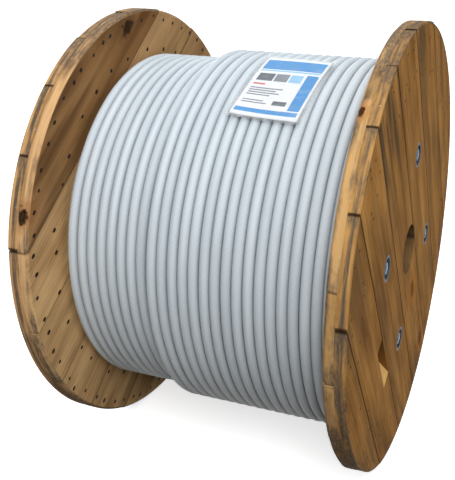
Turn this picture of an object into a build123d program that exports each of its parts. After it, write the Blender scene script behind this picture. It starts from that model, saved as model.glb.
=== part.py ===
"""Wooden cable drum, lying on its rims and wound with heavy grey cable.

Two flanges of crossed boards, a barrel of flat staves between them, four tie rods, the wound cable
and a data sheet in a clear sleeve. Millimetres and degrees; the drum's axis is X, up is +Z.
"""

import os
from math import cos, pi, radians, sin, sqrt

from build123d import *

# Flanges
flange_diameter = 1000
overall_width = 700
board_thickness = 22
board_width = 150
board_gap = 1.5
board_count = 7
rim_setback = 3
inner_rim_chamfer = 5
spindle_bore_diameter = 112

# Lay of the boards, seen from the +X end with +Y to the right; a joint offset is from the drum's axis
outer_board_angle = 122
right_outer_joint_offset = 52
left_outer_joint_offset = 80
outer_setback_shares = (0.6, 0, 0, 0, 0.8, 0.2, 0.9)
right_inner_board_angle = 32
left_inner_board_angle = 35
right_inner_joint_offset = 100
left_inner_joint_offset = 99
inner_setback_shares = (0.3, 0.9, 0.1, 0.7, 0.4, 0, 0)

# Barrel
barrel_diameter = 510
stave_count = 18
stave_thickness = 28
stave_gap = 1.5

# Tie rods, each with a dished washer and a nut at both ends, sunk in the outer boards
tie_rod_count = 4
tie_rod_diameter = 16
tie_rod_first_angle = 79
tie_rod_to_stave = 1
tie_rod_hole_clearance = 0.5
tie_rod_end_recess = 1
washer_diameter = 58
washer_thickness = 3
washer_sink = 0.5
washer_clearance = 0.5
dish_mouth_diameter = 46
dish_floor_diameter = 34
dish_depth = 14.5
nut_across_flats = 24
nut_height = 13
thread_clearance = 0.1

# Sloped slot in the right flange, where the inner end of the cable comes out
cable_slot_width = 41
cable_slot_ramp_length = 109
cable_slot_mouth_length = 45
cable_slot_rise = 24
cable_slot_joint_steps = -2

# Wound cable
cable_diameter = 23
winding_slack = 0.1
full_layer_count = 7
top_layer_share = 0.68
layer_shift_share = 0.5
turn_groove_share = 0.36
winding_clearance = 0.3

# Data sheet in its clear sleeve, bent to a flatter curve than the cable under it
sheet_width = 148
sheet_length = 210
sheet_thickness = 0.4
sleeve_margin = 6
sleeve_film = 0.3
sleeve_clearance = 0.1
sleeve_bend_radius = 900
sleeve_seat = 0.1
sleeve_offset = 104
sleeve_angle = 23
sleeve_skew = -3

# How far a cutting solid runs past the wood it cuts
overrun = 5

flange_radius = flange_diameter / 2
flange_thickness = 2 * board_thickness
outer_face = overall_width / 2
layer_face = outer_face - board_thickness
inner_face = outer_face - flange_thickness
winding_width = 2 * inner_face
barrel_radius = barrel_diameter / 2
stave_inside = barrel_radius * cos(pi / stave_count) - stave_thickness
tie_rod_circle = stave_inside - tie_rod_to_stave - tie_rod_diameter / 2

# The drum is built on end, its axis along Z, and laid down as it is written out
laid_down = Plane(origin=(0, 0, 0), x_dir=(0, 1, 0), z_dir=(1, 0, 0))


def write(name, *solids):
    """Lays a piece down with the drum and writes it as one node."""
    laid = [laid_down.location * solid for solid in solids]
    export_step(laid[0] if len(laid) == 1 else Compound(children=laid), f"parts/{name}.step")


def rod_drill(radius, length, level=0):
    """Round cutters on the tie rods' circle, with their middle at a level along the drum's axis."""
    places = PolarLocations(tie_rod_circle, tie_rod_count, tie_rod_first_angle)
    return [place * Pos(0, 0, level) * Cylinder(radius, length) for place in places]


def board_edges(joint_offset):
    """Offsets of the joints across one layer, with the rim at both ends; the edge boards take what is left."""
    steps = range(-(board_count // 2), board_count // 2)
    joints = [joint_offset + step * board_width for step in steps]
    return [-flange_radius - overrun, *joints, flange_radius + overrun]


def lay_boards(angle, joint_offset, shares, low, high, chamfered_face, cutters):
    """One layer of a flange: a turned disc sawn into parallel boards, each set back a little at its ends."""
    across = Vector(sin(radians(angle)), -cos(radians(angle)), 0)
    middle = (low + high) / 2
    boards = []
    edges = board_edges(joint_offset)
    for number, (near, far) in enumerate(zip(edges, edges[1:])):
        setback = rim_setback * shares[number]
        disc = Pos(0, 0, middle) * Cylinder(flange_radius - setback, high - low)
        if chamfered_face is not None:
            rims = disc.edges().filter_by(GeomType.CIRCLE)
            inner_rim = min(rims, key=lambda edge: abs(edge.center().Z - chamfered_face))
            disc = chamfer(inner_rim, inner_rim_chamfer)
        strip = Box(flange_diameter, far - near - board_gap, high - low)
        centre = across * ((near + far) / 2)
        board = disc & (Pos(centre.X, centre.Y, middle) * Rot(0, 0, angle) * strip)
        for cutter in cutters:
            board -= cutter
        boards.append(board)
    return boards


def cable_slot():
    """The slot's cutter: a ramp sunk along a board from the outer face, opening beside the barrel."""
    along = (cos(radians(outer_board_angle)), sin(radians(outer_board_angle)), 0)
    across = (sin(radians(outer_board_angle)), -cos(radians(outer_board_angle)), 0)
    joint = right_outer_joint_offset + cable_slot_joint_steps * board_width
    side = Plane(origin=tuple(joint * part for part in across), x_dir=along, z_dir=across)
    mouth = cable_slot_rise - cable_slot_mouth_length
    outline = Polyline(
        (mouth - cable_slot_ramp_length, outer_face),
        (mouth, inner_face),
        (mouth, inner_face - overrun),
        (cable_slot_rise, inner_face - overrun),
        (cable_slot_rise, outer_face + overrun),
        (mouth - cable_slot_ramp_length, outer_face + overrun),
        close=True,
    )
    return extrude(side * make_face(outline), -cable_slot_width)


def build_flanges():
    """Both flanges, each of two crossed layers; the right one has the cable slot."""
    spindle_bore = Cylinder(spindle_bore_diameter / 2, overall_width + 2 * overrun)
    dish_wells = rod_drill(dish_mouth_diameter / 2 + washer_clearance, overall_width + 2 * overrun)
    washer_seat = washer_sink + washer_thickness
    rod_holes = rod_drill(tie_rod_diameter / 2 + tie_rod_hole_clearance, overall_width)
    sides = (
        ("left", -1, left_outer_joint_offset, left_inner_board_angle, left_inner_joint_offset, []),
        ("right", 1, right_outer_joint_offset, right_inner_board_angle, right_inner_joint_offset, [cable_slot()]),
    )
    for side, sign, outer_joint_offset, inner_board_angle, inner_joint_offset, slots in sides:
        outer = sorted((sign * layer_face, sign * outer_face))
        inner = sorted((sign * inner_face, sign * layer_face))
        seats = rod_drill(washer_diameter / 2 + washer_clearance, 2 * washer_seat, sign * outer_face)
        boards = lay_boards(
            outer_board_angle,
            outer_joint_offset,
            outer_setback_shares,
            *outer,
            None,
            [spindle_bore, *dish_wells, *seats, *slots],
        )
        for number, board in enumerate(boards, 1):
            write(f"{side}_outer_board_{number}", board)
        boards = lay_boards(
            inner_board_angle,
            inner_joint_offset,
            inner_setback_shares,
            *inner,
            sign * inner_face,
            [spindle_bore, *rod_holes, *slots],
        )
        for number, board in enumerate(boards, 1):
            write(f"{side}_inner_board_{number}", board)


def build_barrel():
    """Flat staves side by side round the barrel, mitred where they meet, butting on both flanges."""
    ring = RegularPolygon(barrel_radius, stave_count)
    ring -= RegularPolygon(stave_inside, stave_count, major_radius=False)
    barrel = Pos(0, 0, -inner_face) * extrude(ring, winding_width)
    saw = Pos(flange_radius / 2, 0, 0) * Box(flange_radius, stave_gap, winding_width)
    for cut in PolarLocations(0, stave_count):
        barrel -= cut * saw
    for number, stave in enumerate(barrel.solids(), 1):
        write(f"barrel_stave_{number}", stave)


def dished_washer():
    """A pressed washer, its rim's top at zero: a flat rim, and a dish that takes the nut below the face."""
    top = [
        (tie_rod_diameter / 2 + thread_clearance, -dish_depth),
        (dish_floor_diameter / 2, -dish_depth),
        (dish_mouth_diameter / 2, 0),
        (washer_diameter / 2, 0),
    ]
    underside = [(radius, level - washer_thickness) for radius, level in reversed(top)]
    return revolve(Plane.XZ * make_face(Polyline(*top, *underside, close=True)), Axis.Z)


def build_tie_rods():
    """Tie rods with their washers and nuts; the washers' rims bear on seats cut in the outer boards."""
    places = PolarLocations(tie_rod_circle, tie_rod_count, tie_rod_first_angle)
    rod = Cylinder(tie_rod_diameter / 2, overall_width - 2 * tie_rod_end_recess)
    hole = Cylinder(tie_rod_diameter / 2 + thread_clearance, overall_width)
    nut = extrude(RegularPolygon(nut_across_flats / 2, 6, major_radius=False), nut_height)
    nut = Pos(0, 0, -dish_depth) * nut - hole
    ends = [
        place * Rot(turn, 0, 0) * Pos(0, 0, outer_face - washer_sink) for place in places for turn in (0, 180)
    ]
    for number, place in enumerate(places, 1):
        write(f"tie_rod_{number}", place * rod)
    write("washers", *[end * dished_washer() for end in ends])
    write("nuts", *[end * nut for end in ends])


def winding():
    """Turns in a layer, their spacing, and the outer radii of the layers from the last but one to the top."""
    pitch = cable_diameter + winding_slack
    turns = int(winding_width / pitch - layer_shift_share)
    rise = sqrt(cable_diameter**2 - (layer_shift_share * pitch) ** 2)
    lower = barrel_radius + cable_diameter + (full_layer_count - 1) * rise
    return turns, pitch, (lower - rise, lower, lower + rise)


def build_cable():
    """The wound cable, turned as one solid: a full layer, and a part layer nested on it at the right."""
    turns, pitch, (under, lower, upper) = winding()
    top_turns = round(turns * top_layer_share)
    bare_turns = turns - top_turns
    groove = turn_groove_share * cable_diameter
    left = -turns * pitch / 2
    right = left + (turns + layer_shift_share) * pitch
    bore = barrel_radius + winding_clearance

    def turn(centre, radius):
        return [(radius - groove, centre - pitch / 2), (radius, centre)]

    points = [(bore, -inner_face), (under, -inner_face), (under, left)]
    for number in range(bare_turns):
        points += turn(left + (number + layer_shift_share) * pitch, lower)
    step = left + (bare_turns + layer_shift_share) * pitch
    points += turn(step, lower)
    for number in range(top_turns):
        points += turn(step + (number + layer_shift_share) * pitch, upper)
    points += [(upper - groove, right), (lower, right), (lower, inner_face), (bore, inner_face)]
    profile = Plane.XZ * make_face(Polyline(*points, close=True))
    write("cable_coil", revolve(profile, Axis.Z))


def bent_plate(width, length, level, thickness, shift=0):
    """A plate bent round the drum's axis on top of the cable, its level measured from the sleeve's underside."""
    upper = winding()[2][-1]
    turned = Cylinder(sleeve_bend_radius + level + thickness, overall_width)
    turned -= Cylinder(sleeve_bend_radius + level, overall_width)
    turned = Pos(0, upper + sleeve_seat - sleeve_bend_radius, sleeve_offset) * turned
    tall = 2 * (sleeve_bend_radius - sqrt(sleeve_bend_radius**2 - length**2)) + 2 * overrun
    block = Pos(0, upper, sleeve_offset) * Rot(0, sleeve_skew, 0) * Pos(shift, 0, 0) * Box(length, tall, width)
    return Rot(0, 0, sleeve_angle) * (turned & block)


def build_data_sheet():
    """The sheet, and the sleeve round it, open along its upper end."""
    chord = 2 * sleeve_bend_radius * sin(sheet_length / sleeve_bend_radius / 2)
    pocket = sheet_thickness + 2 * sleeve_clearance
    sleeve = bent_plate(
        sheet_width + 2 * sleeve_margin, chord + 2 * sleeve_margin, 0, pocket + 2 * sleeve_film
    )
    sleeve -= bent_plate(
        sheet_width + 2 * sleeve_clearance, chord + 2 * sleeve_margin, sleeve_film, pocket, sleeve_margin
    )
    write("document_sleeve", sleeve)
    write("data_sheet", bent_plate(sheet_width, chord, sleeve_film + sleeve_clearance, sheet_thickness))


os.makedirs("parts", exist_ok=True)
build_flanges()
build_barrel()
build_tie_rods()
build_cable()
build_data_sheet()
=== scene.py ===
"""Looks of the wooden cable drum: sawn pine, nails, steel fittings, wound grey cable and a data sheet."""

from math import cos, pi, radians, sin

import bpy
import numpy as np
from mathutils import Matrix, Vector


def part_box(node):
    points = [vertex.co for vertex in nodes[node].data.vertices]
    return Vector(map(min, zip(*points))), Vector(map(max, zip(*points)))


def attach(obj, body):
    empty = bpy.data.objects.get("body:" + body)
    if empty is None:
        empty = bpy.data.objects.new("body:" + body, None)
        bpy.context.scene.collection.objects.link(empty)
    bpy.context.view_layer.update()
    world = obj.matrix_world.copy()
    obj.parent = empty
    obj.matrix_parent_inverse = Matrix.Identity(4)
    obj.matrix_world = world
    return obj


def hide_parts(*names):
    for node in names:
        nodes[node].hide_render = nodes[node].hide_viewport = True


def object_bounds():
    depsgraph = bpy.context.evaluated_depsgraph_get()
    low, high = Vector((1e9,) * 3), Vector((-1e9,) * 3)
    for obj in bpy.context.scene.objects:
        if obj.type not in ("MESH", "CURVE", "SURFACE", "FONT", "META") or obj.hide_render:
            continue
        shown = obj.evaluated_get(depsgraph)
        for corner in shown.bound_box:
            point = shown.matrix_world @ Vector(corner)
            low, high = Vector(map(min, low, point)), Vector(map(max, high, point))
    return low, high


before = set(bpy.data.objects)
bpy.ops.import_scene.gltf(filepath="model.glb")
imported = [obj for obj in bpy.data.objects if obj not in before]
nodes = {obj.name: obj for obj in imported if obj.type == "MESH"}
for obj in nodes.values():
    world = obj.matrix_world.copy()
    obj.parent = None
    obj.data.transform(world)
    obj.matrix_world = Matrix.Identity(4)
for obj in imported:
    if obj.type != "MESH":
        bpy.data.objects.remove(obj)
cad_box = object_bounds()


# Flange boards
# Each flange is two crossed layers of sawn pine boards, cut round together after nailing. The wood is
# weathered to a honey brown, and its rims are rubbed, bruised and dirty from rolling, with painted shade
# where they face down.
flange_radius = -cad_box[0][2]
bore_radius = 0.056
board_count = 7
board_width = 0.150
board_angles = {"right_outer": 122, "right_inner": 32, "left_outer": 122, "left_inner": 35}
joint_offsets = {"right_outer": 0.052, "right_inner": 0.100, "left_outer": 0.080, "left_inner": 0.099}


def tint(red, green, blue):
    """A colour as a paint chart gives it, 0 to 255, turned into the linear light that shaders take."""
    chart = np.array((red, green, blue)) / 255
    linear = np.where(chart <= 0.04045, chart / 12.92, ((chart + 0.055) / 1.055) ** 2.4)
    return (*linear.tolist(), 1.0)


def blend(first, second, share):
    """A colour part of the way from one to another."""
    return tuple((1 - share) * a + share * b for a, b in zip(first, second))


class Wiring:
    """Short calls for the shader nodes of one tree; an argument is a socket to link or a value to set."""

    def __init__(self, tree):
        self.tree = tree

    def node(self, kind, inputs, output=0, **settings):
        made = self.tree.nodes.new("ShaderNode" + kind)
        for name, value in settings.items():
            setattr(made, name, value)
        for key, value in inputs.items():
            self.feed(made.inputs[key], value)
        return made.outputs[output]

    def feed(self, socket, value):
        if isinstance(value, bpy.types.NodeSocket):
            self.tree.links.new(value, socket)
        else:
            socket.default_value = value

    def maths(self, operation, *values):
        return self.node("Math", dict(enumerate(values)), operation=operation)

    def raised(self, mask, least, more):
        """A value that starts at its least and gains as much more where the mask is full."""
        return self.maths("MULTIPLY_ADD", mask, more, least)

    def weighed(self, start, *parts):
        """A start with several values added to it, each times its weight."""
        for value, weight in parts:
            start = self.raised(value, start, weight)
        return start

    def vectors(self, operation, *values):
        number = operation in ("LENGTH", "DISTANCE")
        return self.node("VectorMath", dict(enumerate(values)), int(number), operation=operation)

    def scaled(self, vector, x, y, z):
        return self.vectors("MULTIPLY", vector, (x, y, z))

    def split(self, vector):
        return self.node("SeparateXYZ", {0: vector}).node.outputs

    def join(self, x, y, z):
        return self.node("CombineXYZ", {0: x, 1: y, 2: z})

    def spread(self, value, low, high):
        """A mask that is 0 at the low value and 1 at the high one, eased between them."""
        ends = {"Value": value, "From Min": low, "From Max": high}
        return self.node("MapRange", ends, interpolation_type="SMOOTHSTEP")

    def noise(self, vector, seed=0.0, detail=2.0, roughness=0.5):
        inputs = {"Vector": vector, "W": seed, "Scale": 1.0, "Detail": detail, "Roughness": roughness}
        return self.node("TexNoise", inputs, noise_dimensions="4D")

    def mix(self, factor, first, second):
        return self.node("Mix", {0: factor, 6: first, 7: second}, 2, data_type="RGBA")

    def laid(self, color, tone, mask, share):
        """A colour with a tone laid over it where the mask is, at a share of its full strength."""
        return self.mix(self.maths("MULTIPLY", mask, share), color, tone)

    def bump(self, height, depth, strength):
        return self.node("Bump", {"Height": height, "Distance": depth, "Strength": strength})

    def group(self, tree, inputs):
        return self.node("Group", inputs, node_tree=tree).node.outputs


def new_group(name, inputs, outputs):
    """Starts a shader group with these sockets; gives the tree, its wiring, its inputs and its end node."""
    kinds = {float: "NodeSocketFloat", 3: "NodeSocketVector", 4: "NodeSocketColor"}
    tree = bpy.data.node_groups.new(name, "ShaderNodeTree")
    for label, start in inputs.items():
        kind = kinds[float] if isinstance(start, float) else kinds[len(start)]
        tree.interface.new_socket(name=label, in_out="INPUT", socket_type=kind).default_value = start
    for label, kind in outputs.items():
        tree.interface.new_socket(name=label, in_out="OUTPUT", socket_type=kinds[kind])
    given = tree.nodes.new("NodeGroupInput").outputs
    end = tree.nodes.new("NodeGroupOutput").inputs
    return tree, Wiring(tree), given, end


def new_material(name, **constants):
    """Starts a material; gives it with its wiring and its shader's inputs, the constant ones already set."""
    material = bpy.data.materials.new(name)
    material.use_nodes = True
    shader = material.node_tree.nodes["Principled BSDF"].inputs
    for label, value in constants.items():
        shader[label.replace("_", " ").title().replace("Ior", "IOR")].default_value = value
    return material, Wiring(material.node_tree), shader


# Marks of the grain: cells of noise a metre, through the board, along it and across it
waver_cells = (5, 1.3, 4)
fibre_cells = (420, 7, 420)
streak_cells = (25, 1.7, 40)
blotch_cells = (4, 3.8, 12)
weathered_cells = (12, 1.5, 28)
patch_cells = (3, 3.5, 7)
grain_roughness = 0.6
# The pith lies beside the board, swings across with the board's seed, and wavers along it
pith_depth = 0.055
pith_turn = 12.9
pith_swing = 0.070
pith_waver = 0.075
# Late wood darkens towards the end of each ring
ring_spacing = 0.0085
late_start, late_peak = 0.35, 0.90
# How much each mark darkens quiet wood, and how much streaks roughen it and late wood stands up
quiet_tone = -0.92
late_tone, streak_tone, blotch_tone, fibre_tone = 0.13, 0.95, 1.50, 0.40
pine_roughness = (0.5, 0.3)
late_height = 0.2
# Grey stain lies where weathered streaks and patches come together, each a draw of its own
weathered_seed, patch_seed = 9.0, 4.0
patch_weight = 0.7
stain_levels = (0.76, 1.00)


def sawn_pine_group():
    """Pine as sawn: rings by the distance from a wavering pith, streaks, blotches, fibres and grey stain."""
    tree, wire, given, end = new_group(
        "sawn_pine",
        {
            "Place": (0, 0, 0),
            "Seed": 0.0,
            "Light": (1, 1, 1, 1),
            "Dark": (0, 0, 0, 1),
            "Stain": (0, 0, 0, 1),
            "Stain Share": 0.0,
        },
        {"Color": 4, "Roughness": float, "Height": float},
    )
    place, seed = given["Place"], given["Seed"]
    depth, _, across = wire.split(place)
    swing = wire.maths("SINE", wire.maths("MULTIPLY", seed, pith_turn))
    waver = wire.noise(wire.scaled(place, *waver_cells), seed)
    sideways = wire.weighed(across, (swing, pith_swing), (waver, pith_waver))
    from_pith = wire.vectors("LENGTH", wire.join(wire.maths("ADD", depth, pith_depth), 0, sideways))
    ring = wire.maths("FRACT", wire.maths("DIVIDE", from_pith, ring_spacing))
    late_wood = wire.spread(ring, late_start, late_peak)
    late_wood = wire.maths("MULTIPLY", late_wood, wire.spread(ring, 1.0, late_peak))
    fibre = wire.noise(wire.scaled(place, *fibre_cells), seed)
    streak = wire.noise(wire.scaled(place, *streak_cells), seed, detail=3, roughness=grain_roughness)
    blotch = wire.noise(wire.scaled(place, *blotch_cells), seed, detail=3, roughness=grain_roughness)
    tone = wire.weighed(quiet_tone, (late_wood, late_tone), (streak, streak_tone))
    tone = wire.weighed(tone, (blotch, blotch_tone), (fibre, fibre_tone))
    color = wire.mix(wire.node("Clamp", {"Value": tone}), given["Light"], given["Dark"])
    weathered = wire.noise(
        wire.scaled(place, *weathered_cells),
        wire.maths("ADD", seed, weathered_seed),
        detail=4,
        roughness=grain_roughness,
    )
    patch = wire.noise(wire.scaled(place, *patch_cells), wire.maths("ADD", seed, patch_seed))
    stained = wire.spread(wire.raised(patch, weathered, patch_weight), *stain_levels)
    wire.feed(end["Color"], wire.laid(color, given["Stain"], stained, given["Stain Share"]))
    wire.feed(end["Roughness"], wire.raised(streak, *pine_roughness))
    wire.feed(end["Height"], wire.raised(late_wood, fibre, late_height))
    return tree


# A knot, in shares of its size: where its halo and its core begin and are full, and how uneven they are
knot_cells = (90, 90, 90)
knot_stretch = (1, 0.6, 1)
knot_unevenness = 1.6
halo_reaches = (2.6, 0.9)
core_reaches = (1.1, 0.7)
knot_ring_turn = 16
knot_ring_contrast = 0.06
grain_push = -0.8


def knot_group():
    """A knot: a dark ringed core, a warm halo round it, and the grain pushed aside as it passes."""
    tree, wire, given, end = new_group(
        "knot",
        {"Place": (0, 0, 0), "Centre": (0, 0, 0), "Size": 0.01},
        {"Moved": 3, "Halo": float, "Core": float},
    )
    away = wire.vectors("SUBTRACT", given["Place"], given["Centre"])
    uneven = wire.noise(wire.scaled(given["Place"], *knot_cells))
    reach = wire.maths("DIVIDE", wire.vectors("LENGTH", wire.scaled(away, *knot_stretch)), given["Size"])
    reach = wire.maths("ADD", reach, wire.raised(uneven, -knot_unevenness / 2, knot_unevenness))
    halo = wire.spread(reach, *halo_reaches)
    core = wire.spread(reach, *core_reaches)
    rings = wire.maths("SINE", wire.maths("MULTIPLY", reach, knot_ring_turn))
    rings = wire.raised(rings, 1 - knot_ring_contrast, knot_ring_contrast)
    push = wire.join(0, 0, wire.maths("MULTIPLY", halo, grain_push))
    wire.feed(end["Moved"], wire.vectors("ADD", given["Place"], wire.vectors("MULTIPLY", away, push)))
    wire.feed(end["Halo"], halo)
    wire.feed(end["Core"], wire.maths("MULTIPLY", core, rings))
    return tree


# Rim wear: how deep it goes, how wide its track is, and the smudges' cells along the axis and around
rim_depths = (0.0065, 0.0045)
track_reaches = (0.0062, 0.0028)
rim_patch_cells = (30, 5.5)
rim_streak_cells = (105, 3.2)
rim_grit_cells = (330, 45)
rim_streak_seed, rim_grit_seed = 3.0, 7.0
smudge_roughness = 0.62
# Where dirt lies on the rim, with painted shade where the rim faces down, and how much each cause adds to it
rim_patch_weight, rim_streak_weight = 1.2, 0.55
upward_heights, upward_weight = (0.72, 0.98), 0.24
downward_shade_heights, downward_shade_weight = (0.05, -0.55), 0.22
board_end_shares, board_end_weight = (0.60, 0.98), 0.20
rim_dirt_and_shade_levels = (0.84, 1.14)
grit_levels = (0.08, 0.66)
track_streak_levels = (0.34, 0.58)
track_grit_levels = (0.15, 0.50)
rim_dirt_and_shade_share = 0.92
# Where streaks of the board's own colour stay on the rubbed wood
unworn_levels = (0.38, 0.64)
unworn_share = 0.6


def rolled_rim_group():
    """Wear of the rim, told by the distance from the drum's axis.

    Rubbed wood shows fresher; dirt lies in patches, in streaks drawn out round the rim, in a dark track
    along the middle of a layer, at one end of each board, and thickest where the rim faces up. Where it
    faces down, the same grey is painted shade.
    """
    tree, wire, given, end = new_group(
        "rolled_rim",
        {
            "Spot": (0, 0, 0),
            "Depth": 0.0,
            "Track": 0.0,
            "Board Share": 0.0,
            "Seed": 0.0,
            "Wood": (1, 1, 1, 1),
            "Fresh": (1, 1, 1, 1),
            "Grime And Shade": (0, 0, 0, 1),
        },
        {"Color": 4},
    )
    along_axis, _, _ = wire.split(given["Spot"])
    radial = wire.scaled(given["Spot"], 0, 1, 1)
    rim = wire.spread(wire.vectors("LENGTH", radial), *(flange_radius - depth for depth in rim_depths))
    around = wire.vectors("NORMALIZE", radial)
    _, _, height = wire.split(around)

    def smudge(axis_cells, around_cells, seed):
        """Noise drawn out by its cells along the drum's axis and around the rim."""
        spot = wire.scaled(around, 0, around_cells, around_cells)
        spot = wire.vectors("ADD", spot, wire.join(wire.maths("MULTIPLY", along_axis, axis_cells), 0, 0))
        return wire.noise(spot, seed, detail=3, roughness=smudge_roughness)

    patch = smudge(*rim_patch_cells, given["Seed"])
    streak = smudge(*rim_streak_cells, rim_streak_seed)
    grit = smudge(*rim_grit_cells, rim_grit_seed)
    lying = wire.weighed(
        0.0,
        (patch, rim_patch_weight),
        (streak, rim_streak_weight),
        (wire.spread(height, *upward_heights), upward_weight),
        # painted shade: the rim takes more of the grime colour where it faces down
        (wire.spread(height, *downward_shade_heights), downward_shade_weight),
        (wire.spread(given["Board Share"], *board_end_shares), board_end_weight),
    )
    rim_dirt_and_shade = wire.maths("MULTIPLY", wire.spread(lying, *rim_dirt_and_shade_levels), wire.spread(grit, *grit_levels))
    track = wire.spread(wire.maths("ABSOLUTE", given["Depth"]), *track_reaches)
    track = wire.maths("MULTIPLY", track, given["Track"])
    track = wire.maths("MULTIPLY", track, wire.spread(streak, *track_streak_levels))
    track = wire.maths("MULTIPLY", track, wire.spread(grit, *track_grit_levels))
    worn = wire.laid(given["Fresh"], given["Wood"], wire.spread(streak, *unworn_levels), unworn_share)
    worn = wire.laid(worn, given["Grime And Shade"], wire.maths("MAXIMUM", rim_dirt_and_shade, track), rim_dirt_and_shade_share)
    wire.feed(end["Color"], wire.mix(rim, given["Wood"], worn))
    return tree


# Nails stand in two rings, in shares of the flange's radius; a tip's size is a share of the tips' spacing
ring_shares = (0.955, 0.815)
ring_half_widths = (0.020, 0.017)
tip_spacing = 0.042
tip_shares = (0.095, 0.060)


def nail_tip_group():
    """Tips of nails on an outer face: small dots about the middles of cells, kept to two rings."""
    tree, wire, given, end = new_group("nail_tip", {"Spot": (0, 0, 0)}, {"Mask": float})
    _, y, z = wire.split(given["Spot"])
    cells = {"Vector": wire.join(y, z, 0), "Scale": 1 / tip_spacing}
    off = wire.node("TexVoronoi", cells, "Distance", voronoi_dimensions="2D")
    reach = wire.vectors("LENGTH", wire.join(0, y, z))
    from_rings = (wire.maths("SUBTRACT", reach, share * flange_radius) for share in ring_shares)
    from_ring = wire.maths("MINIMUM", *(wire.maths("ABSOLUTE", away) for away in from_rings))
    in_ring = wire.spread(from_ring, *ring_half_widths)
    wire.feed(end["Mask"], wire.maths("MULTIPLY", wire.spread(off, *tip_shares), in_ring))
    return tree


sawn_pine = sawn_pine_group()
knot_mark = knot_group()
rolled_rim = rolled_rim_group()
nail_tip = nail_tip_group()

# Colours of a layer's wood where it is pale, deep and stained, and of its rim where that is rubbed
wood_colors = {
    "outer": (tint(212, 156, 84), tint(102, 66, 28), tint(88, 68, 44)),
    "inner": (tint(242, 202, 146), tint(132, 94, 54), tint(74, 56, 38)),
}
rim_fresh = {"right": tint(185, 143, 87), "left": tint(208, 166, 118)}
rim_grime_and_shade = tint(86, 80, 73)
rim_pale_step, rim_pale_share = 0.37, 0.35
wood_gloss = 0.01
grain_relief = (0.0006, 0.5)
# Shades run from 0, the palest board of a layer, to 1, the darkest; stains from none to a grey board
board_shades = {
    "right_outer": (0.46, 0.30, 0.38, 0.28, 0.33, 0.24, 0.36),
    "right_inner": (0.30, 0.45, 0.25, 0.40, 0.35, 0.50, 0.28),
    "left_outer": (0.35, 0.28, 0.42, 0.30, 0.38, 0.26, 0.33),
    "left_inner": (0.98, 0.18, 0.16, 0.16, 0.18, 0.20, 0.22),
}
board_stains = {
    "right_outer": (0.50, 0.45, 0.55, 0.45, 0.50, 0.60, 0.50),
    "right_inner": (0.40, 0.30, 0.40, 0.30, 0.40, 0.30, 0.40),
    "left_outer": (0.40, 0.50, 0.35, 0.45, 0.35, 0.50, 0.40),
    "left_inner": (0.60, 0.20, 0.25, 0.25, 0.30, 0.30, 0.30),
}
shade_to_pale, shade_to_deep = 0.38, 0.72
layer_seed_step, board_seed_step = 3.17, 1.31
# Stain is heavier near the rim, and heavier again at the upper ends of some boards
stain_reaches = (0.34, 0.48)
stain_near_rim = (0.8, 0.6)
stained_end = (0.20, 0.42)
end_stains = {"right_outer_board_4": 1.2, "left_inner_board_1": 0.9}
# Inner boards go brown towards their upper ends, and one of them all over
browned_end = (-0.10, 0.42)
brown_shares = {"outer": 0.0, "inner": 0.42}
brown_boards = {"left_inner_board_1": 0.32}
upper_brown = tint(114, 76, 43)
# Knots that show: on which board, where in the drum's own frame, how large, and the core's and halo's colours
knots = (
    ("left_inner_board_1", (-0.306, -0.062, 0.467), 0.014, tint(44, 30, 20), tint(88, 62, 38)),
    ("left_inner_board_1", (-0.320, -0.475, 0.157), 0.014, tint(10, 6, 5), tint(150, 100, 58)),
    ("right_inner_board_1", (0.312, -0.319, 0.385), 0.008, tint(48, 20, 10), tint(176, 118, 66)),
    ("right_outer_board_4", (0.350, 0.075, -0.135), 0.018, tint(122, 70, 20), tint(172, 106, 36)),
    ("right_outer_board_4", (0.350, 0.235, -0.352), 0.014, tint(104, 54, 22), tint(140, 82, 30)),
    ("left_outer_board_3", (-0.350, -0.180, 0.120), 0.017, tint(66, 38, 22), tint(140, 82, 38)),
    ("left_outer_board_5", (-0.350, 0.120, 0.230), 0.013, tint(92, 48, 24), tint(140, 82, 38)),
)
halo_share, core_share = 0.6, 0.97
# Dirt lies in the joints, in shares of a board's width from them, and on the nails' tips; grime and painted
# shade darken the bore
joint_cells = (40, 14, 40)
joint_waver = -0.012
joint_shares = (0.018, 0.006)
joint_dirt = tint(52, 36, 22)
joint_dirt_shares = {"outer": 0.8, "inner": 0.4}
tip_dirt_share = 0.9
bore_margins = (0.003, 0.0005)
bore_grime_and_shade = tint(86, 72, 54)
bore_grime_and_shade_share = 0.75
# The slot's ramp is cut later than the boards weathered: its middle, as far along and across its board
ramp_board = "right_outer_board_2"
ramp_middle = (-0.060, 0.268)
ramp_reach = 0.085
ramp_edge = 0.010
ramp_depths = (0.0108, 0.0100)
ramp_wood = tint(226, 182, 112)
ramp_wood_share = 0.85
# Pale scuffs lie on the outer faces, away from their middle
scuff_cells = (60, 110, 60)
scuff_seed = 6.0
scuff_levels = (0.70, 0.73)
scuff_reaches = (0.30, 0.40)
scuff_grey = tint(206, 190, 160)
scuff_share = 0.6


def knotted_place(wire, name, layer, spot):
    """Turns the drum's frame into a board's own: through it, along it and across it, moved round its knots.

    It gives the moved place, and the halo, the core and the colours of each knot.
    """
    angle = radians(board_angles[layer])
    middle = sum(corner[0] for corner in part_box(name)) / 2
    place = wire.node("Mapping", {"Vector": spot, "Rotation": (-angle, 0, 0), "Location": (-middle, 0, 0)})
    marks = []
    for board, (x, y, z), size, *colors in knots:
        if board == name:
            along = y * cos(angle) + z * sin(angle)
            across = z * cos(angle) - y * sin(angle)
            mark = {"Place": place, "Centre": (x - middle, along, across), "Size": size}
            place, halo, core = wire.group(knot_mark, mark)
            marks.append((halo, core, *colors))
    return place, marks


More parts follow.
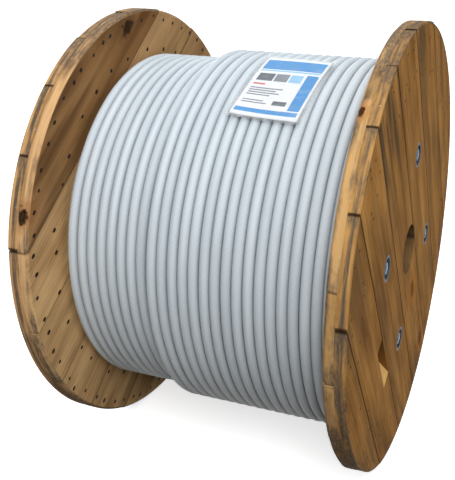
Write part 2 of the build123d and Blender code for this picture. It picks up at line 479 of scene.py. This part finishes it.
def later_marks(wire, name, layer, color, spot, place, board_share, seed):
    """Lays over the wood what came later: dirt in the joints, the ramp, nail tips and scuffs; and grime with
    painted shade in the bore.
    """
    face = layer.split("_")[1]
    depth, along, across = wire.split(place)
    from_axis = wire.vectors("LENGTH", wire.scaled(spot, 0, 1, 1))
    from_ramp = wire.vectors("DISTANCE", wire.join(0, along, across), (0, *ramp_middle))
    from_joint = wire.maths("PINGPONG", board_share, 0.5)
    uneven = wire.noise(wire.scaled(place, *joint_cells), seed)
    joint = wire.spread(wire.raised(uneven, from_joint, joint_waver), *joint_shares)
    if ramp_board.startswith(layer):
        joint = wire.maths("MULTIPLY", joint, wire.spread(from_ramp, ramp_reach - ramp_edge, ramp_reach))
    color = wire.laid(color, joint_dirt, joint, joint_dirt_shares[face])
    # grime and painted shade: the bore's wall is greyed and darkened all the way round
    bore_grime_and_shade_mask = wire.spread(from_axis, *(bore_radius + margin for margin in bore_margins))
    color = wire.laid(color, bore_grime_and_shade, bore_grime_and_shade_mask, bore_grime_and_shade_share)
    if name == ramp_board:
        cut = wire.spread(from_ramp, ramp_reach, ramp_reach - ramp_edge)
        cut = wire.maths("MULTIPLY", cut, wire.spread(depth, *ramp_depths))
        color = wire.laid(color, ramp_wood, cut, ramp_wood_share)
    if face == "outer":
        tip = wire.group(nail_tip, {"Spot": spot})["Mask"]
        color = wire.laid(color, joint_dirt, tip, tip_dirt_share)
        scuff = wire.spread(wire.noise(wire.scaled(spot, *scuff_cells), scuff_seed), *scuff_levels)
        scuff = wire.maths("MULTIPLY", scuff, wire.spread(from_axis, *scuff_reaches))
        color = wire.laid(color, scuff_grey, scuff, scuff_share)
    return color


def finish_wood(wire, shader, color, pine):
    """Gives a shader the colour of a piece of wood, and the roughness and fine relief of its grain."""
    wire.feed(shader["Base Color"], color)
    wire.feed(shader["Roughness"], pine["Roughness"])
    wire.feed(shader["Normal"], wire.bump(pine["Height"], *grain_relief))


def board_wood(name, layer, shade, stain_share, seed):
    """Wood of one board, its grain laid along the board's own direction."""
    side, face = layer.split("_")
    pale, deep, stain = wood_colors[face]
    material, wire, shader = new_material(name + "_wood", specular_ior_level=wood_gloss)
    spot = wire.node("TexCoord", {}, "Object")
    place, marks = knotted_place(wire, name, layer, spot)
    depth, along, across = wire.split(place)
    from_axis = wire.vectors("LENGTH", wire.scaled(spot, 0, 1, 1))
    stained = wire.raised(wire.spread(from_axis, *stain_reaches), *stain_near_rim)
    stained = wire.maths("MULTIPLY", stained, stain_share)
    stained = wire.raised(wire.spread(along, *stained_end), stained, end_stains.get(name, 0.0))
    grain = {
        "Place": place,
        "Seed": seed,
        "Light": blend(pale, deep, max(shade - shade_to_pale, 0)),
        "Dark": blend(pale, deep, min(shade + shade_to_deep, 1)),
        "Stain": stain,
        "Stain Share": stained,
    }
    pine = wire.group(sawn_pine, grain)
    browned = wire.raised(
        wire.spread(along, *browned_end), brown_boards.get(name, 0.0), brown_shares[face]
    )
    board_share = wire.maths("DIVIDE", wire.maths("ADD", across, joint_offsets[layer]), -board_width)
    board_share = wire.maths("FRACT", board_share)
    wear = {
        "Spot": spot,
        "Depth": depth,
        "Track": float(face == "outer"),
        "Board Share": board_share,
        "Seed": seed,
        "Wood": wire.mix(browned, pine["Color"], upper_brown),
        "Fresh": blend(rim_fresh[side], pale, (seed * rim_pale_step) % rim_pale_share),
        "Grime And Shade": rim_grime_and_shade,
    }
    color = wire.group(rolled_rim, wear)["Color"]
    color = later_marks(wire, name, layer, color, spot, place, board_share, seed)
    for halo, core, core_color, halo_color in marks:
        color = wire.laid(color, halo_color, halo, halo_share)
        color = wire.laid(color, core_color, core, core_share)
    finish_wood(wire, shader, color, pine)
    return material


for layer_number, layer in enumerate(board_angles):
    for number in range(1, board_count + 1):
        board = f"{layer}_board_{number}"
        shade, stain_share = board_shades[layer][number - 1], board_stains[layer][number - 1]
        seed = layer_seed_step * layer_number + board_seed_step * number
        nodes[board].material_slots[0].material = board_wood(board, layer, shade, stain_share, seed)


# Nails
# Steel nails hold the two layers together, driven from inside in two rings near the rim. Their heads stand a
# little proud of the inner faces, dark as steel and darker with painted shade in place of countersinks; their
# tips end flush in the outer ones.
ring_counts = (65, 33)
spacing_scatter = 0.22
reach_scatter = 0.008
head_radius = 0.0040
head_sizes = (0.75, 1.15)
head_rise = 0.0006
dome_shares = (1.0, 0.92, 0.55)
dome_rises = (-0.2, 0.6, 1.0)
grain_stretch = 1.5
nail_sides = 10
nail_gloss = 0.1
nail_dark_and_shade, nail_rust = tint(28, 23, 20), tint(56, 36, 24)
nail_roughness = (0.4, 0.4)
rust_cells = (160, 160, 160)
rust_seed = 2.0
rust_levels = (0.40, 0.65)
chance = np.random.default_rng(7)


def mesh_piece(name, vertices, faces, material, slot):
    """A new piece from whole arrays of corners and faces, smooth, with its finish, riding on the drum."""
    mesh = bpy.data.meshes.new(name)
    mesh.from_pydata(vertices.reshape(-1, 3), [], faces)
    mesh.shade_smooth()
    mesh.materials.append(material)
    piece = bpy.data.objects.new(name, mesh)
    bpy.context.scene.collection.objects.link(piece)
    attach(piece, "root")
    return piece


def grid_faces(rows, columns, start=0):
    """Quads between neighbouring rows of points, each row closed on itself."""
    row, column = np.meshgrid(np.arange(rows - 1), np.arange(columns), indexing="ij")
    after = (column + 1) % columns
    near, far = row * columns, (row + 1) * columns
    return np.stack((near + column, near + after, far + after, far + column), axis=-1).reshape(-1, 4) + start


def nail_heads(face, facing, angle):
    """Low domes on a flat face: rings round each nail, stretched along the grain and rising inwards."""
    turns, reaches = [], []
    for share, count in zip(ring_shares, ring_counts):
        scatter = chance.uniform(-spacing_scatter, spacing_scatter, count)
        turns.append((np.arange(count) + scatter) * 2 * pi / count)
        reaches.append(flange_radius * (share + chance.normal(0, reach_scatter, count)))
    turns, reaches = np.concatenate(turns), np.concatenate(reaches)
    centre = np.stack((reaches * np.cos(turns), reaches * np.sin(turns)), axis=-1)
    sizes = head_radius * chance.uniform(*head_sizes, len(turns))
    around = np.arange(nail_sides) * 2 * pi / nail_sides * facing
    steps = np.array(dome_shares)
    rises = np.array(dome_rises) * head_rise
    along = np.array((cos(radians(angle)), sin(radians(angle))))
    across = np.array((-along[1], along[0]))
    outline = grain_stretch * np.cos(around)[:, None] * along + np.sin(around)[:, None] * across
    flat = centre[:, None, None] + sizes[:, None, None, None] * steps[:, None, None] * outline
    level = np.broadcast_to(face + facing * rises[:, None], flat.shape[:3])
    return np.concatenate((level[..., None], flat), axis=-1)


def nail_mesh(points):
    """All the nails of one face as one mesh: walls between their rings, and a flat cap on each."""
    count, rings, sides, _ = points.shape
    starts = np.arange(count) * rings * sides
    walls = (grid_faces(rings, sides)[None] + starts[:, None, None]).reshape(-1, 4)
    caps = starts[:, None] + (rings - 1) * sides + np.arange(sides)
    return points.reshape(-1, 3), walls.tolist() + caps.tolist()


def nail_steel_and_shade():
    """Dull dark steel, darkened further by painted shade in place of countersinks, browned by rust in
    patches.
    """
    material, wire, shader = new_material("nail_steel_and_shade", metallic=0.0, specular_ior_level=nail_gloss)
    spot = wire.node("TexCoord", {}, "Object")
    rust = wire.noise(wire.scaled(spot, *rust_cells), rust_seed)
    # painted shade: the heads' near-black colour stands in for the shade of countersunk holes as well as the
    # steel
    wire.feed(shader["Base Color"], wire.mix(wire.spread(rust, *rust_levels), nail_dark_and_shade, nail_rust))
    wire.feed(shader["Roughness"], wire.raised(rust, *nail_roughness))
    return material


nail_finish = nail_steel_and_shade()
for side, sign in (("left", -1), ("right", 1)):
    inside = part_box(f"{side}_inner_board_4")[sign < 0][0]
    heads = nail_heads(inside, -sign, board_angles[f"{side}_inner"])
    mesh_piece(f"{side}_nail_heads", *nail_mesh(heads), nail_finish, "zinc_steel")


# Barrel staves
# Flat pine staves side by side make the barrel that the cable is wound on. They butt on both flanges
# and show only through the spindle bore.
stave_count = 18
stave_seed = 5.3
stave_pale, stave_deep = tint(206, 170, 122), tint(150, 108, 62)
stave_gloss = 0.08


def stave_wood():
    """Plain pale pine with its grain along the drum's axis."""
    material, wire, shader = new_material("stave_wood", specular_ior_level=stave_gloss)
    spot = wire.node("TexCoord", {}, "Object")
    place = wire.node("Mapping", {"Vector": spot, "Rotation": (0, 0, radians(90))})
    grain = {"Place": place, "Seed": stave_seed, "Light": stave_pale, "Dark": stave_deep}
    pine = wire.group(sawn_pine, grain)
    finish_wood(wire, shader, pine["Color"], pine)
    return material


stave_finish = stave_wood()
for number in range(1, stave_count + 1):
    nodes[f"barrel_stave_{number}"].material_slots[0].material = stave_finish


# Tie rods, washers and nuts
# Four steel rods clamp the flanges on the barrel. Dished washers take the nuts at their ends below the
# boards' faces. The washers are dark blued steel, the rods and nuts dull zinc, all a little stained.
rod_count = 4
blued_deep, blued_pale = tint(30, 38, 46), tint(58, 68, 78)
zinc_deep, zinc_pale = tint(60, 72, 84), tint(110, 122, 134)
blued_metallic, zinc_metallic = 0.0, 0.5
fitting_gloss = 0.08
fitting_roughness = (0.25, 0.3)
fitting_cloud_cells = (60, 60, 60)
fitting_cloud_seed = 1.0
fitting_cloud_levels = (0.3, 0.7)
brown_spot_cells = (150, 150, 150)
brown_spot_seed = 4.0
brown_spot_levels = (0.58, 0.72)
brown_spot = tint(84, 70, 58)
brown_spot_share = 0.5


def fitting_steel(name, deep, pale, metallic):
    """Coated steel, cloudy in patches, with brown stain gathering in small spots."""
    material, wire, shader = new_material(name, metallic=metallic, specular_ior_level=fitting_gloss)
    spot = wire.node("TexCoord", {}, "Object")
    cloud = wire.noise(wire.scaled(spot, *fitting_cloud_cells), fitting_cloud_seed, detail=3)
    stain = wire.noise(wire.scaled(spot, *brown_spot_cells), brown_spot_seed, detail=3)
    stain = wire.spread(stain, *brown_spot_levels)
    color = wire.mix(wire.spread(cloud, *fitting_cloud_levels), deep, pale)
    wire.feed(shader["Base Color"], wire.laid(color, brown_spot, stain, brown_spot_share))
    wire.feed(shader["Roughness"], wire.raised(cloud, *fitting_roughness))
    return material


washer_finish = fitting_steel("blued_steel", blued_deep, blued_pale, blued_metallic)
zinc_finish = fitting_steel("zinc_plate", zinc_deep, zinc_pale, zinc_metallic)
nodes["washers"].material_slots[0].material = washer_finish
for fitting in ("nuts", *(f"tie_rod_{number}" for number in range(1, rod_count + 1))):
    nodes[fitting].material_slots[0].material = zinc_finish


# Wound cable
# Heavy power cable in a light grey satin sheath, wound turn by turn: up from the layer below at the left
# flange, a full layer to the right one, then a part layer back over it. Each turn shifts at the back.
cable_radius = 0.0115
turn_pitch = 0.0231
full_turns = 25
top_turns = 17
shift_zone_share = 0.14
shift_zone_end = radians(-25)
turn_scatter = 0.0002
sway_size = 0.0002
sway_waves, sway_step = 2.3, 1.7
steps_per_turn = 112
cable_sides = 14
end_rounding = 6
end_size_share = 0.02
barrel_clearance = 0.0005
ring_width_share = 0.9995
coil_low, coil_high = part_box("cable_coil")
layer_rise = ((2 * cable_radius) ** 2 - (turn_pitch / 2) ** 2) ** 0.5
top_radius = (coil_high[2] - coil_low[2]) / 2 - cable_radius
full_radius = top_radius - layer_rise
under_radius = full_radius - layer_rise


def cable_line():
    """The cable's middle line: a circle a turn, eased to the next turn's place in the shift zone."""
    left = -full_turns * turn_pitch / 2
    full = left + (np.arange(full_turns) + 0.5) * turn_pitch
    top = left + (full_turns - np.arange(top_turns)) * turn_pitch
    places = np.concatenate(((left,), full, top, top[-1:]))
    places = places + chance.uniform(-turn_scatter, turn_scatter, len(places))
    radii = np.repeat((under_radius, full_radius, top_radius), (1, full_turns, top_turns + 1))
    last = 1 + full_turns + top_turns - shift_zone_share
    count = np.linspace(0, last, int(last * steps_per_turn))
    turn = count.astype(int)
    share = np.clip((count - turn - 1 + shift_zone_share) / shift_zone_share, 0, 1)
    ease = share * share * (3 - 2 * share)
    x = places[turn] + (places[turn + 1] - places[turn]) * ease
    radius = radii[turn] + (radii[turn + 1] - radii[turn]) * ease
    crossing = (turn > full_turns) * (2 * cable_radius - layer_rise)
    radius = radius + crossing * np.sin(pi * share)
    angle = shift_zone_end + 2 * pi * count
    x = x + sway_size * np.sin(sway_waves * angle + sway_step * turn)
    return x, radius, angle


def cable_tube():
    """Round sections carried along the middle line and drawn in at both ends, with the length up to each."""
    x, radius, angle = cable_line()
    inset = np.linspace(0, pi / 2, end_rounding)
    size = np.full(len(x), cable_radius)
    size[:end_rounding] *= np.maximum(np.sin(inset), end_size_share)
    size[-end_rounding:] *= np.maximum(np.sin(inset[::-1]), end_size_share)
    around = np.arange(cable_sides) * 2 * pi / cable_sides
    reach = radius[:, None] + size[:, None] * np.cos(around)
    aside = x[:, None] + size[:, None] * np.sin(around)
    points = np.stack((aside, reach * np.cos(angle)[:, None], reach * np.sin(angle)[:, None]), axis=-1)
    length = np.concatenate(((0,), np.cumsum(radius[1:] * np.diff(angle))))
    return points.reshape(-1, 3), length


def buried_layers(start):
    """The layers under those that show, as one ring: a plain section from the barrel up, carried round."""
    staves = (f"barrel_stave_{number}" for number in range(1, stave_count + 1))
    bore = max(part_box(stave)[1][2] for stave in staves) + barrel_clearance
    left, right = coil_low[0] * ring_width_share, coil_high[0] * ring_width_share
    section = np.array(((left, bore), (left, under_radius), (right, under_radius), (right, bore)))
    angle = np.arange(steps_per_turn + 1) * 2 * pi / steps_per_turn
    x = np.broadcast_to(section[:, 0], (len(angle), len(section)))
    y = np.cos(angle)[:, None] * section[:, 1]
    z = np.sin(angle)[:, None] * section[:, 1]
    return np.stack((x, y, z), axis=-1).reshape(-1, 3), grid_faces(len(angle), len(section), start)


def end_caps(rows, columns):
    """Two flat faces that close a grid of closed rows: its first row, turned round, and its last."""
    row = np.arange(columns)
    return [row[::-1].tolist(), ((rows - 1) * columns + row).tolist()]


def corner_points(piece):
    """The number of the point at each corner of each face."""
    corner = np.empty(len(piece.data.loops), dtype=np.int32)
    piece.data.loops.foreach_get("vertex_index", corner)
    return corner


def lay_map(piece, name, places):
    """Gives a piece a map of its surface, from the place of each corner of each face on it."""
    surface_map = piece.data.uv_layers.new(name=name)
    surface_map.data.foreach_set("uv", places.astype(np.float32).ravel())


# Strands under the sheath show as slanting marks: how many a metre along it, and how many round it
strand_marks, strand_count = 95.0, 6.0
strand_tone = 0.03
strand_relief = (0.0003, 0.15)
sheath_pale, sheath_deep = tint(207, 216, 222), tint(184, 194, 201)
sheath_levels = (0.4, 1.2)
sheath_gloss = 0.12
sheath_roughness = (0.36, 0.2)
sheath_cloud_cells = (3.0, 2.0, 0.0)
sheath_cloud_seed = 1.0
turn_tone_cells = (55, 1.2, 1.2)
turn_tone_seed = 5.0
turn_tone_weight = 0.6
speck_cells = (300, 300, 300)
speck_seed = 3.0
speck_levels = (0.62, 0.75)
speck_grey = tint(150, 152, 152)
speck_share = 0.25
# Painted shade darkens the grooves between turns, in shares of the way round the cable from its crest
groove_reaches = (0.04, 0.27)
groove_shade_grey = tint(120, 125, 128)
groove_shade_share = 0.55


def cable_sheath():
    """Light grey sheath: slanting strand marks, a tone of its own a turn, specks, and painted shade in the
    grooves.
    """
    material, wire, shader = new_material("cable_sheath", specular_ior_level=sheath_gloss)
    surface = wire.node("UVMap", {}, uv_map="sheath")
    along, around, _ = wire.split(surface)
    spot = wire.node("TexCoord", {}, "Object")
    strand = wire.raised(along, wire.maths("MULTIPLY", around, strand_count), strand_marks)
    rib = wire.maths("SINE", wire.maths("MULTIPLY", strand, 2 * pi))
    cloud = wire.noise(wire.scaled(surface, *sheath_cloud_cells), sheath_cloud_seed, detail=3)
    turn_tone = wire.noise(wire.scaled(spot, *turn_tone_cells), turn_tone_seed, detail=1)
    tone = wire.weighed(cloud, (rib, strand_tone), (turn_tone, turn_tone_weight))
    color = wire.mix(wire.spread(tone, *sheath_levels), sheath_pale, sheath_deep)
    speck = wire.spread(wire.noise(wire.scaled(spot, *speck_cells), speck_seed), *speck_levels)
    color = wire.laid(color, speck_grey, speck, speck_share)
    # painted shade: the sheath darkens from each turn's crest towards the grooves beside it
    groove_shade = wire.spread(wire.maths("PINGPONG", around, 0.5), *groove_reaches)
    wire.feed(shader["Base Color"], wire.laid(color, groove_shade_grey, groove_shade, groove_shade_share))
    wire.feed(shader["Roughness"], wire.raised(cloud, *sheath_roughness))
    wire.feed(shader["Normal"], wire.bump(rib, *strand_relief))
    return material


tube_points, tube_length = cable_tube()
tube_faces = grid_faces(len(tube_length), cable_sides)
ring_points, ring_faces = buried_layers(len(tube_points))
cable = mesh_piece(
    "wound_cable",
    np.concatenate((tube_points, ring_points)),
    tube_faces.tolist() + end_caps(len(tube_length), cable_sides) + ring_faces.tolist(),
    cable_sheath(),
    "cable_sheath",
)
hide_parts("cable_coil")
corner = corner_points(cable)
row, column = np.divmod(np.minimum(corner, len(tube_points) - 1), cable_sides)
closes_round = np.zeros(len(corner), dtype=bool)
closes_round[: tube_faces.size] = np.tile((False, True, True, False), len(tube_faces))
around_share = (column + cable_sides * (closes_round & (column == 0))) / cable_sides
lay_map(cable, "sheath", np.stack((tube_length[row], around_share), axis=-1))


# Data sheet and its sleeve
# A printed sheet in a clear film sleeve lies over the cable, bent by its own stiffness to a flatter
# curve than the turns under it. The sleeve is welded on three sides and open at its upper end.
sheet_size = (0.148, 0.210)
sheet_thickness = 0.0002
sheet_level_share = 0.4
sleeve_margin = 0.006
sleeve_gap = 0.0012
sleeve_bend_radius = 0.9
sleeve_offset = 0.104
sleeve_angle = radians(23)
sleeve_skew = radians(-3)
crest_radius = top_radius + cable_radius
film_columns, film_rows = 25, 33
weld_share = 0.04
welded_gap_share = 0.04
# Slow waves of the film: their height, and how fast they run across and along it
film_level = 0.0012
film_waves = ((0.0007, 31, 17), (0.0006, -11, 43))
curl_height = 0.012
curl_margin = 0.1
curl_power = 1.5


def bent_over_cable(across, along, level):
    """Flat points turned by the skew, bent to an arc and carried to the sleeve's place on the coil."""
    aside = across * cos(sleeve_skew) - along * sin(sleeve_skew) + sleeve_offset
    ahead = along * cos(sleeve_skew) + across * sin(sleeve_skew)
    bend = ahead / sleeve_bend_radius
    reach = crest_radius - sleeve_bend_radius + (sleeve_bend_radius + level) * np.cos(bend)
    drift = (sleeve_bend_radius + level) * np.sin(bend)
    y = drift * cos(sleeve_angle) - reach * sin(sleeve_angle)
    z = drift * sin(sleeve_angle) + reach * cos(sleeve_angle)
    return np.stack((aside, y, z), axis=-1)


def lift(across, along):
    """How far the film stands off its plain bend: slow waves, and the lower left corner curling up."""
    wave = sum(height * np.sin(sideways * across + ahead * along) for height, sideways, ahead in film_waves)
    left = np.clip(-across / sheet_size[0] + curl_margin, 0, 1)
    lower = np.clip(-along / sheet_size[1] + curl_margin, 0, 1)
    return film_level + wave + curl_height * (left * lower) ** curl_power


def film_bag(width, length, gap):
    """A flat tube: across the top film and back under it, carried along and pinched at its lower end."""
    over = np.linspace(-0.5, 0.5, film_columns)
    loop = np.concatenate((over, over[-2:0:-1]))
    upper = np.concatenate((np.ones(film_columns), np.zeros(film_columns - 2)))
    upper[[0, film_columns - 1]] = 0.5
    along, across = np.meshgrid(np.linspace(-0.5, 0.5, film_rows) * length, loop * width, indexing="ij")
    open_share = np.clip((along / length + 0.5) / weld_share, welded_gap_share, 1)
    level = lift(across, along) + gap * open_share * upper
    return bent_over_cable(across, along, level), loop


# Paper that lets a little light in, and ink that is uneven in cells across and along the sheet
paper_white, paper_shade = tint(244, 246, 248), tint(236, 240, 244)
paper_gloss = 0.3
paper_roughness = (0.5, 0.1)
paper_glow, paper_glow_depth = 0.4, 0.002
ink_cells = (14, 90, 1)
ink_seed = 1.0
ink_levels = (0.10, 0.35)
ink_edge = (-0.001, 0.002)
print_colors = {
    "blue": tint(18, 132, 204),
    "pale": tint(136, 194, 236),
    "grey": tint(112, 118, 128),
    "dark": tint(58, 66, 80),
    "red": tint(206, 62, 52),
}
# Printed blocks: colour, middle and size, in shares of the sheet's width and length from its lower left
print_blocks = (
    ("blue", 0.50, 0.850, 0.90, 0.190),
    ("pale", 0.50, 0.730, 0.90, 0.026),
    ("blue", 0.865, 0.410, 0.17, 0.56),
    ("dark", 0.20, 0.610, 0.24, 0.13),
    ("grey", 0.44, 0.610, 0.20, 0.13),
    ("pale", 0.65, 0.610, 0.18, 0.13),
    ("red", 0.17, 0.490, 0.18, 0.026),
    ("grey", 0.32, 0.425, 0.48, 0.019),
    ("grey", 0.28, 0.390, 0.40, 0.019),
    ("grey", 0.31, 0.355, 0.46, 0.019),
    ("grey", 0.25, 0.320, 0.34, 0.019),
    ("grey", 0.23, 0.235, 0.30, 0.018),
    ("grey", 0.26, 0.200, 0.36, 0.018),
    ("dark", 0.62, 0.218, 0.20, 0.064),
    ("blue", 0.50, 0.085, 0.90, 0.060),
)


def printed_block_group():
    """A rectangle on the sheet: 1 where a point is within half the size of its middle, both ways."""
    tree, wire, given, end = new_group(
        "printed_block", {"Place": (0, 0, 0), "Middle": (0, 0, 0), "Size": (1, 1, 1)}, {"Mask": float}
    )
    away = wire.vectors("ABSOLUTE", wire.vectors("SUBTRACT", given["Place"], given["Middle"]))
    room = wire.vectors("SUBTRACT", wire.scaled(given["Size"], 0.5, 0.5, 0.5), away)
    x, y, _ = wire.split(room)
    wire.feed(end["Mask"], wire.spread(wire.maths("MINIMUM", x, y), *ink_edge))
    return tree


def sheet_paper():
    """White paper with plain blocks and bars of print, a little uneven, as from an office printer."""
    material, wire, shader = new_material(
        "sheet_paper",
        specular_ior_level=paper_gloss,
        subsurface_weight=paper_glow,
        subsurface_scale=paper_glow_depth,
        subsurface_radius=(1, 1, 1),
    )
    block = printed_block_group()
    place = wire.node("UVMap", {}, uv_map="page")
    uneven = wire.noise(wire.scaled(place, *ink_cells), ink_seed)
    inked = wire.spread(uneven, *ink_levels)
    color = wire.mix(uneven, paper_white, paper_shade)
    for name, across, along, width, height in print_blocks:
        shape = {"Place": place, "Middle": (across, along, 0), "Size": (width, height, 1)}
        color = wire.laid(color, print_colors[name], wire.group(block, shape)["Mask"], inked)
    wire.feed(shader["Base Color"], color)
    wire.feed(shader["Roughness"], wire.raised(uneven, *paper_roughness))
    return material


# Film of the sleeve: clearest and smoothest where it lies flat, and how much more its creases add
film_tint = tint(236, 242, 246)
film_ior = 1.46
film_roughness = (0.08, 0.2)
film_alpha = (0.10, 0.14)
film_relief = (0.002, 0.3)
crease_cells = (40, 90, 90)
crease_seed = 2.0
crease_levels = (0.45, 0.75)


def clear_film():
    """Clear soft film, almost unseen but for its shine, a little milky where it is creased."""
    material, wire, shader = new_material("clear_film", base_color=film_tint, ior=film_ior)
    spot = wire.node("TexCoord", {}, "Object")
    crease = wire.noise(wire.scaled(spot, *crease_cells), crease_seed, detail=3)
    wire.feed(shader["Alpha"], wire.raised(wire.spread(crease, *crease_levels), *film_alpha))
    wire.feed(shader["Roughness"], wire.raised(crease, *film_roughness))
    wire.feed(shader["Normal"], wire.bump(crease, *film_relief))
    return material


page_points, page_loop = film_bag(*sheet_size, sheet_thickness)
page_points += sheet_level_share * sleeve_gap * np.array((0, -sin(sleeve_angle), cos(sleeve_angle)))
film_faces = grid_faces(film_rows, len(page_loop))
page = mesh_piece(
    "printed_sheet",
    page_points,
    film_faces.tolist() + end_caps(film_rows, len(page_loop)),
    sheet_paper(),
    "sheet_paper",
)
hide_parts("data_sheet")
corner = corner_points(page)
row, column = np.divmod(corner, len(page_loop))
page_place = np.stack((page_loop[column] + 0.5, row / (film_rows - 1)), axis=-1)
is_front = np.zeros(len(corner), dtype=bool)
is_front[: film_faces.size] = np.repeat(film_faces[:, 0] % len(page_loop) < film_columns - 1, 4)
page_place[~is_front] = -1
lay_map(page, "page", page_place)

sleeve_points, _ = film_bag(*(size + 2 * sleeve_margin for size in sheet_size), sleeve_gap)
sleeve = mesh_piece("clear_sleeve", sleeve_points, film_faces.tolist(), clear_film(), "sleeve_film")
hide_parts("document_sleeve")


# Floor, light and camera
# A plain white floor with the drum's soft shadow, a pale sky, and four large soft lamps, the strongest
# above the front. The camera sees the drum from its right front and a little above.
floor_level = cad_box[0][2]
floor_half = 20.0
floor_brown, floor_white = tint(62, 48, 32), tint(236, 236, 236)
floor_glow = (0.66, 0.36)
floor_glow_reaches = (1.5, 4.5)
floor_roughness = 0.9
plain_white = (1, 1, 1, 1)


def seen_directly(wire):
    """1 for rays from the camera, mirrors and clear film, 0 for the rays that carry light about."""
    path = wire.node("LightPath", {}).node.outputs
    seen = wire.maths("MAXIMUM", path["Is Camera Ray"], path["Is Glossy Ray"])
    return wire.maths("MAXIMUM", seen, path["Is Transmission Ray"])


def floor_paint():
    """White where it is seen, with a glow that is weaker round the drum; dull brown to all other rays."""
    material, wire, shader = new_material(
        "floor_paint", roughness=floor_roughness, specular_ior_level=0.0, emission_color=plain_white
    )
    seen = seen_directly(wire)
    wire.feed(shader["Base Color"], wire.mix(seen, floor_brown, floor_white))
    away = wire.vectors("LENGTH", wire.node("TexCoord", {}, "Object"))
    glow = wire.raised(wire.spread(away, *floor_glow_reaches), *floor_glow)
    wire.feed(shader["Emission Strength"], wire.maths("MULTIPLY", seen, glow))
    return material


floor_corners = np.array(((-1, -1, 0), (1, -1, 0), (1, 1, 0), (-1, 1, 0))) * floor_half
floor_corners[:, 2] = floor_level
floor_mesh = bpy.data.meshes.new("floor")
floor_mesh.from_pydata(floor_corners, [], [(0, 1, 2, 3)])
floor_mesh.materials.append(floor_paint())
floor = bpy.data.objects.new("floor", floor_mesh)
bpy.context.scene.collection.objects.link(floor)

sky_heights = (0.0, 0.6)
sky_low, sky_high = tint(255, 242, 224), tint(246, 249, 255)
sky_strength = (0.18, 0.24)
world = bpy.data.worlds.new("daylight")
world.use_nodes = True
bpy.context.scene.world = world
sky = Wiring(world.node_tree)
background = world.node_tree.nodes["Background"].inputs
seen = seen_directly(sky)
_, _, upward = sky.split(sky.node("TexCoord", {}, "Generated"))
high = sky.spread(upward, *sky_heights)
sky.feed(background["Color"], sky.mix(seen, sky.mix(high, sky_low, sky_high), plain_white))
sky.feed(background["Strength"], sky.maths("MAXIMUM", seen, sky.raised(high, *sky_strength)))

# Each lamp's place, size and power; all are aimed at the drum's middle
lamps = {
    "daylight_front": ((1.35, -3.3, 3.1), 2.4, 158),
    "daylight_above": ((0.2, 0.3, 4.0), 3.0, 48),
    "daylight_side": ((4.4, -1.6, 1.4), 3.0, 48),
    "daylight_back": ((-3.6, 3.0, 2.2), 3.0, 95),
}
drum_middle = (0, 0, 0)
camera_place = (0.664524, -1.628981, 0.698993)
camera_aim = (0.044499, 0.0, -0.022589)


def set_up(name, device, place, aim):
    """Puts a lamp or the camera at a place, aimed at a point."""
    holder = bpy.data.objects.new(name, device)
    holder.location = place
    holder.rotation_euler = (Vector(aim) - Vector(place)).to_track_quat("-Z", "Y").to_euler()
    bpy.context.scene.collection.objects.link(holder)
    return holder


for name, (place, size, power) in lamps.items():
    lamp = bpy.data.lights.new(name, "AREA")
    lamp.size = size
    lamp.energy = power
    set_up(name, lamp, place, drum_middle)

camera = bpy.data.cameras.new("camera")
camera.lens = 58.722
camera.sensor_width = 36.0
camera.shift_x = -0.115733
bpy.context.scene.camera = set_up("camera", camera, camera_place, camera_aim)
bpy.context.scene.view_settings.view_transform = "Standard"
